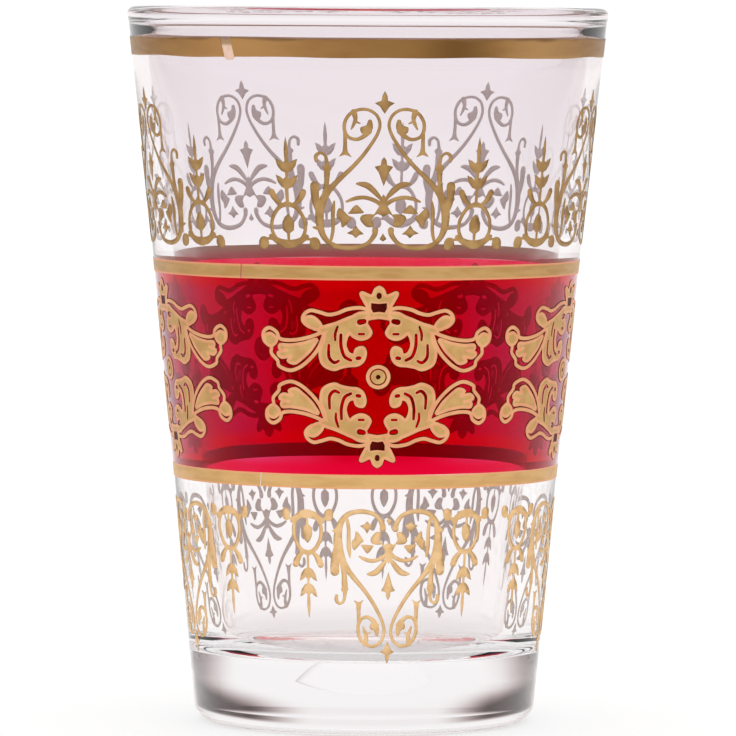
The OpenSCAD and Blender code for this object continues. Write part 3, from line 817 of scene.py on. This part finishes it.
def lace(row, start, heart, sprig, finish):
    """One row of lace: each repeat is a heart between two sprigs."""
    heart_cut = heart_leaf(row)
    sprig_cut = sprig_leaf(row)
    for k in range(1, REPEATS + 1):
        turn = (k - 1) * REPEAT_TURN + start
        rolled(heart_cut, row, turn, 0, f"{heart}_leaf_{k}", f"{heart}_{k}", "lace_gold", finish)
        for name, side in (("left", -1), ("right", 1)):
            rolled(
                sprig_cut, row, turn + side * SPRIG_TURN, 0,
                f"{sprig}_leaf_{name}_{k}", f"{sprig}_{name}_{k}", "lace_gold", finish,
            )


upper_lace = Gold(
    "upper_gold_lace", front=tint(184, 148, 98), mottle=tint(164, 128, 82), under=tint(214, 204, 199),
    roughness=0.42,
)
upper_row = Row(UPPER_ROW_Z, UPPER_ROW_H, HEART_SQUARES, LACE_LINE_W)
lace(upper_row, 0, "upper_heart", "upper_sprig", upper_lace)

# The medallions are printed over the ruby: four quarters of acanthus leaves round a ring. Each leaf has
# a pale outline of bright gold, a fill of matt gold and slits where the ruby shows.
MEDALLION_SQUARES = (32, 24)
MEDALLION_LINE_W = 0.45
MEDALLION_TURN = math.radians(-0.8)
MEDALLION_Z = (RUBY_Z + RUBY_TOP) / 2 + 0.12
MEDALLION_H = 0.98 * (RUBY_TOP - RUBY_Z)
OUTLINE_W = 0.38
CROWN_SLIT = [(0, 10.1, 1.4), (0, 10.3, 1.4)]
CROWN = [
    (0, 11.3), (0.45, 11.0), (0.9, 10.2), (2.0, 10.6), (2.15, 10.3), (1.7, 9.4), (1.35, 8.7), (1.2, 7.6),
    (1.35, 7.3), (0.8, 7.4), (0, 7.5),
]
CROWN_WINDOW = [(0, 9.2), (0.95, 9.3), (0.95, 8.6), (0.7, 8.1), (0, 8.2)]
WING = [
    (1.15, 8.4, 1.0), (2.3, 8.7, 1.0), (3.8, 8.5, 1.0), (5.0, 8.0, 1.0), (6.1, 7.8, 1.0), (7.2, 8.1, 1.0),
    (8.3, 8.3, 1.0), (9.1, 7.8, 1.0), (9.3, 7.0, 1.0), (8.6, 6.3, 1.0), (7.6, 6.0, 0.8),
]
WING_BUD = [(7.0, 6.2), (7.3, 6.9), (8.1, 7.5), (8.9, 7.4), (9.1, 6.9), (8.5, 6.3), (7.6, 5.9)]
WING_ROOT = [
    (1.2, 8.1), (2.3, 7.9), (3.9, 7.3), (5.3, 6.7), (6.6, 6.3), (7.4, 5.9), (6.9, 5.4), (6.5, 5.5),
    (5.4, 5.6), (4.4, 5.4), (3.9, 5.6), (3.3, 5.4), (2.9, 6.0), (2.4, 7.0), (1.5, 7.4),
]
LEAF_LINE = [
    (6.4, 5.9, 1.0), (7.8, 5.2, 1.0), (9.5, 4.7, 1.0), (11.2, 4.5, 1.0), (12.4, 4.7, 1.0),
    (12.8, 5.5, 1.0), (13.8, 6.0, 1.0), (14.6, 5.4, 1.0), (14.5, 4.3, 1.0), (13.6, 3.7, 1.0),
    (13.6, 2.8, 1.0), (12.8, 1.9, 1.0), (12.6, 1.2, 1.0), (11.2, 0.7, 1.0), (9.9, 1.1, 1.0),
    (8.6, 2.1, 1.0), (7.5, 3.4, 1.0), (6.9, 4.7, 1.0), (6.6, 5.6, 1.0),
]
LEAF_FILL = [
    (7.6, 4.7), (9.2, 4.2), (11.0, 3.9), (12.4, 3.9), (12.3, 3.2), (11.3, 3.3), (12.7, 2.9), (12.2, 2.3),
    (10.9, 2.5), (11.4, 1.9), (10.5, 1.6), (9.6, 2.2), (8.6, 3.1), (8.0, 3.9),
]
LEAF_CURL = [(12.8, 4.4), (13.1, 5.0), (13.7, 5.3), (14.4, 5.0), (14.4, 4.2), (13.6, 3.7)]
FALL = [
    (6.4, 5.8), (6.7, 4.5), (7.2, 3.3), (7.1, 2.0), (6.6, 1.3), (5.5, 0.9), (4.6, 1.2), (3.6, 1.4),
    (2.6, 1.5), (1.9, 2.0), (1.6, 3.0), (1.9, 3.7), (2.7, 3.5), (3.0, 2.8), (3.7, 3.0), (4.1, 4.0),
    (3.9, 5.0), (3.5, 5.8), (4.6, 6.2),
]
FALL_SLITS = [
    ((4.6, 5.3, 0.8), (4.6, 3.9, 0.9), (4.2, 2.6, 0.9), (3.4, 2.1, 0.8)),
    ((6.1, 4.0, 0.7), (6.1, 2.5, 0.9), (5.5, 1.8, 0.9), (4.9, 2.0, 0.7)),
    ((5.0, 6.3, 0.6), (5.3, 5.4, 0.8), (5.3, 4.6, 0.6)), ((2.3, 2.4, 1.0), (2.6, 2.35, 1.0)),
]
HOOK_FILL = [
    (1.2, 8.0), (1.5, 7.4), (1.55, 6.8), (1.15, 6.1), (0.95, 5.5), (1.4, 4.95), (2.2, 4.75), (3.0, 5.05),
    (3.6, 5.6), (4.4, 5.9), (3.6, 7.2), (2.4, 8.0),
]
HOOK_SLITS = [((1.8, 7.0, 1.4), (2.3, 6.9, 1.6)), ((1.8, 5.4, 0.7), (2.4, 5.4, 0.7))]
RING = [
    (1.3, 0), (0.92, 0.92), (0, 1.3), (-0.92, 0.92),
    (-1.3, 0), (-0.92, -0.92), (0, -1.3), (0.92, -0.92),
]
RING_BEAD = [
    (0.9, 0), (0.64, 0.64), (0, 0.9), (-0.64, 0.64),
    (-0.9, 0), (-0.64, -0.64), (0, -0.9), (0.64, -0.64),
]
RING_HOLE = [(0.3, 0), (0.15, 0.26), (-0.15, 0.26), (-0.3, 0), (-0.15, -0.26), (0.15, -0.26)]


def medallion_row(way):
    """The upper half of the medallions, or the lower half, drawn from their middle height."""
    return Row(MEDALLION_Z, way * MEDALLION_H, MEDALLION_SQUARES, MEDALLION_LINE_W, true_at=0)


def medallion_leaf():
    """The gold of a medallion, cut out flat."""
    parts, slits = [], []
    for way in (-1, 1):
        row = medallion_row(way)
        for side in (-1, 1):
            for blob, cuts in (
                (WING_BUD, ()), (WING_ROOT, ()), (LEAF_FILL, ()), (LEAF_CURL, ()),
                (FALL, FALL_SLITS), (HOOK_FILL, HOOK_SLITS),
            ):
                edges = row.stroke(blob, side, OUTLINE_W, closed=True, steps=4)
                for slit in cuts:
                    slits += row.stroke(slit, side)
                    edges += row.stroke(slit, side, OUTLINE_W * 2)
                parts.append((row.blob(blob, side), edges))
            for stroke in (WING, LEAF_LINE):
                parts.append(([], row.stroke(stroke, side)))
        crown_edges = []
        for side in (-1, 1):
            for table in (CROWN, CROWN_WINDOW):
                crown_edges += row.stroke([(side * x, y) for x, y in table], 1, OUTLINE_W)
        parts.append((row.whole(CROWN), crown_edges))
        slits += row.whole(CROWN_WINDOW)
        slits += row.stroke(CROWN_SLIT)
    parts.append(([], row.stroke(RING, 1, MEDALLION_LINE_W, closed=True, steps=6)))
    parts.append((row.blob(RING_BEAD), []))
    slits += row.blob(RING_HOLE)
    return gold_leaf(parts, slits, LACE_T)


# Under the gold of a medallion lies a dark sheet, a hair wider and with narrower slits, which gives
# the gold a thin dark rim: a painted shadow round the gold.
SHADOW_RIM_T = 0.006
SHADOW_RIM_LIFT = 0.003
SHADOW_RIM_W = 0.09


def medallion_shadow_rim():
    """The dark sheet under a medallion, a painted shadow round its gold, cut out flat."""
    shapes, slits = [], []
    wide_outline = OUTLINE_W + 2 * SHADOW_RIM_W
    wide_line = MEDALLION_LINE_W + 2 * SHADOW_RIM_W
    narrow_slit = MEDALLION_LINE_W - 2 * SHADOW_RIM_W
    for way in (-1, 1):
        row = medallion_row(way)
        for side in (-1, 1):
            for blob in (WING_BUD, WING_ROOT, LEAF_FILL, LEAF_CURL, FALL, HOOK_FILL):
                shapes += row.blob(blob, side)
                shapes += row.stroke(blob, side, wide_outline, closed=True, steps=4)
            for slit in FALL_SLITS + HOOK_SLITS:
                slits += row.stroke(slit, side, narrow_slit)
            for stroke in (WING, LEAF_LINE):
                shapes += row.stroke(stroke, side, wide_line)
            shapes += row.stroke([(side * x, y) for x, y in CROWN], 1, wide_outline)
        shapes += row.whole(CROWN)
    shapes += row.stroke(RING, 1, wide_line, closed=True, steps=6)
    shapes += row.blob(RING_BEAD)
    return gold_leaf([(shapes, [])], slits, SHADOW_RIM_T)


def medallions(name, cut, under, *finishes):
    """The five medallions, or one layer of them."""
    for k in range(1, REPEATS + 1):
        rolled(
            cut, medallion_row(1), (k - 1) * REPEAT_TURN + MEDALLION_TURN, under,
            f"{name}_{k}", f"medallion_{k}", "bright_gold", *finishes, sharp=SHARP_TURN,
        )


ROSE_UNDER = tint(250, 215, 205)
# The dark sheet is painted shadow: a dark brown metal round the gold's edges.
shadow_rim = Gold(
    "medallion_shadow_rim", front=tint(88, 18, 14), mottle=tint(70, 12, 9), under=ROSE_UNDER, roughness=0.45
)
fill_gold = Gold(
    "medallion_fill_gold", front=tint(208, 168, 110), mottle=tint(196, 154, 98), under=ROSE_UNDER,
    roughness=0.42,
)
outline_gold = Gold(
    "medallion_outline_gold", front=tint(230, 170, 124), mottle=tint(224, 158, 116), under=ROSE_UNDER,
    roughness=0.36,
)
medallions("medallion_leaf", medallion_leaf(), RUBY_T + PRINT_GAP, fill_gold, outline_gold)
medallions("medallion_shadow_rim", medallion_shadow_rim(), RUBY_T + SHADOW_RIM_LIFT, shadow_rim)

# The lower lace is the same drawing hanging upside down from under the ruby, a little slimmer and of
# a lighter gold colour.
LOWER_TURN = math.radians(3)
LOWER_GAP_TOP = 2.1
LOWER_ROW_TOP = RUBY_Z - GOLD_LINE_H - LOWER_GAP_TOP
LOWER_TIP_Z = 9.2
LOWER_SLIM = 0.94
lower_lace = Gold(
    "lower_gold_lace", front=tint(238, 200, 150), mottle=tint(222, 182, 130), under=tint(216, 206, 200),
    roughness=0.42,
)
lower_row = Row(LOWER_ROW_TOP, LOWER_TIP_Z - LOWER_ROW_TOP, HEART_SQUARES, LACE_LINE_W, slim=LOWER_SLIM)
lace(lower_row, LOWER_TURN, "lower_heart", "lower_pendant", lower_lace)

# The studio: the glass stands on a white sheet before a bright wall and under soft light. Just over the
# sheet the wall is dark to the left and the right, which draws the grey lines in the heavy base. The
# wall's tones go by the direction looked in: way is +X to the right, +Y to the back and +Z up.
FLOOR_HALF = 4000
FLOOR_SHADE_ASIDE = (500, 1600)
STRIP_MIDDLE = 0.03
STRIP_RISE = 0.046
STRIP_LOW = (0.007, 0.037)
STRIP_TOP = (0.13, 0.28)
STRIP_SIDES = (0.24, 0.56)
DIM_TOP = (0.1, 0.25)
DIM_SIDES = (0.6, 1)
WALL_LIGHT = 1.06
CEILING_LIGHT = 0.1
CEILING = (0.4, 0.8)
BACK = (0, 0.2)

floor_bm = bmesh.new()
bmesh.ops.create_grid(floor_bm, x_segments=8, y_segments=8, size=FLOOR_HALF * MM)
floor_mesh = bpy.data.meshes.new("white_floor")
floor_bm.to_mesh(floor_mesh)
floor_bm.free()
paper = Finish("white_paper", roughness=0.9, emission_strength=0.63)
# Far to the left and right the sheet is painted darker, in its colour and its glow: a painted shade.
far_aside_shade = paper.aside(*FLOOR_SHADE_ASIDE)
paper.set(
    base_color=paper.mix(far_aside_shade, (0.35, 0.35, 0.35, 1), (0.22, 0.21, 0.21, 1)),
    emission_color=paper.mix(far_aside_shade, (1, 1, 1, 1), (0.62, 0.58, 0.57, 1)),
)
floor_mesh.materials.append(paper.material)
floor = bpy.data.objects.new("white_floor", floor_mesh)
bpy.context.scene.collection.objects.link(floor)

world = bpy.data.worlds.new("studio")
world.use_nodes = True
sky = Bench(world.node_tree)
way = sky.node("ShaderNodeTexCoord", {}, {}, "Generated")
lift = way[2]
aside = abs(way[0] - STRIP_MIDDLE)
strip = (lift - STRIP_RISE * aside * aside * aside).soft(*STRIP_LOW) * (1 - lift.soft(*STRIP_TOP))
dark_strip = strip * (0.06 + 0.9 * aside.soft(*STRIP_SIDES))
dim_sides = (1 - lift.soft(*DIM_TOP)) * 0.7 * aside.soft(*DIM_SIDES)
shade = way[1].soft(*BACK) * (1 - (1 - dark_strip) * (1 - dim_sides))
backdrop = world.node_tree.nodes["Background"]
sky.put(backdrop.inputs["Color"], sky.mix(shade, (1, 1, 1, 1), (1, 0.78, 0.74, 1)))
sky.put(backdrop.inputs["Strength"], WALL_LIGHT + CEILING_LIGHT * lift.soft(*CEILING) - shade)
bpy.context.scene.world = world
bpy.context.scene.view_settings.view_transform = "Standard"
bpy.context.scene.cycles.max_bounces = 32
bpy.context.scene.cycles.transmission_bounces = 32
bpy.context.scene.cycles.glossy_bounces = 12
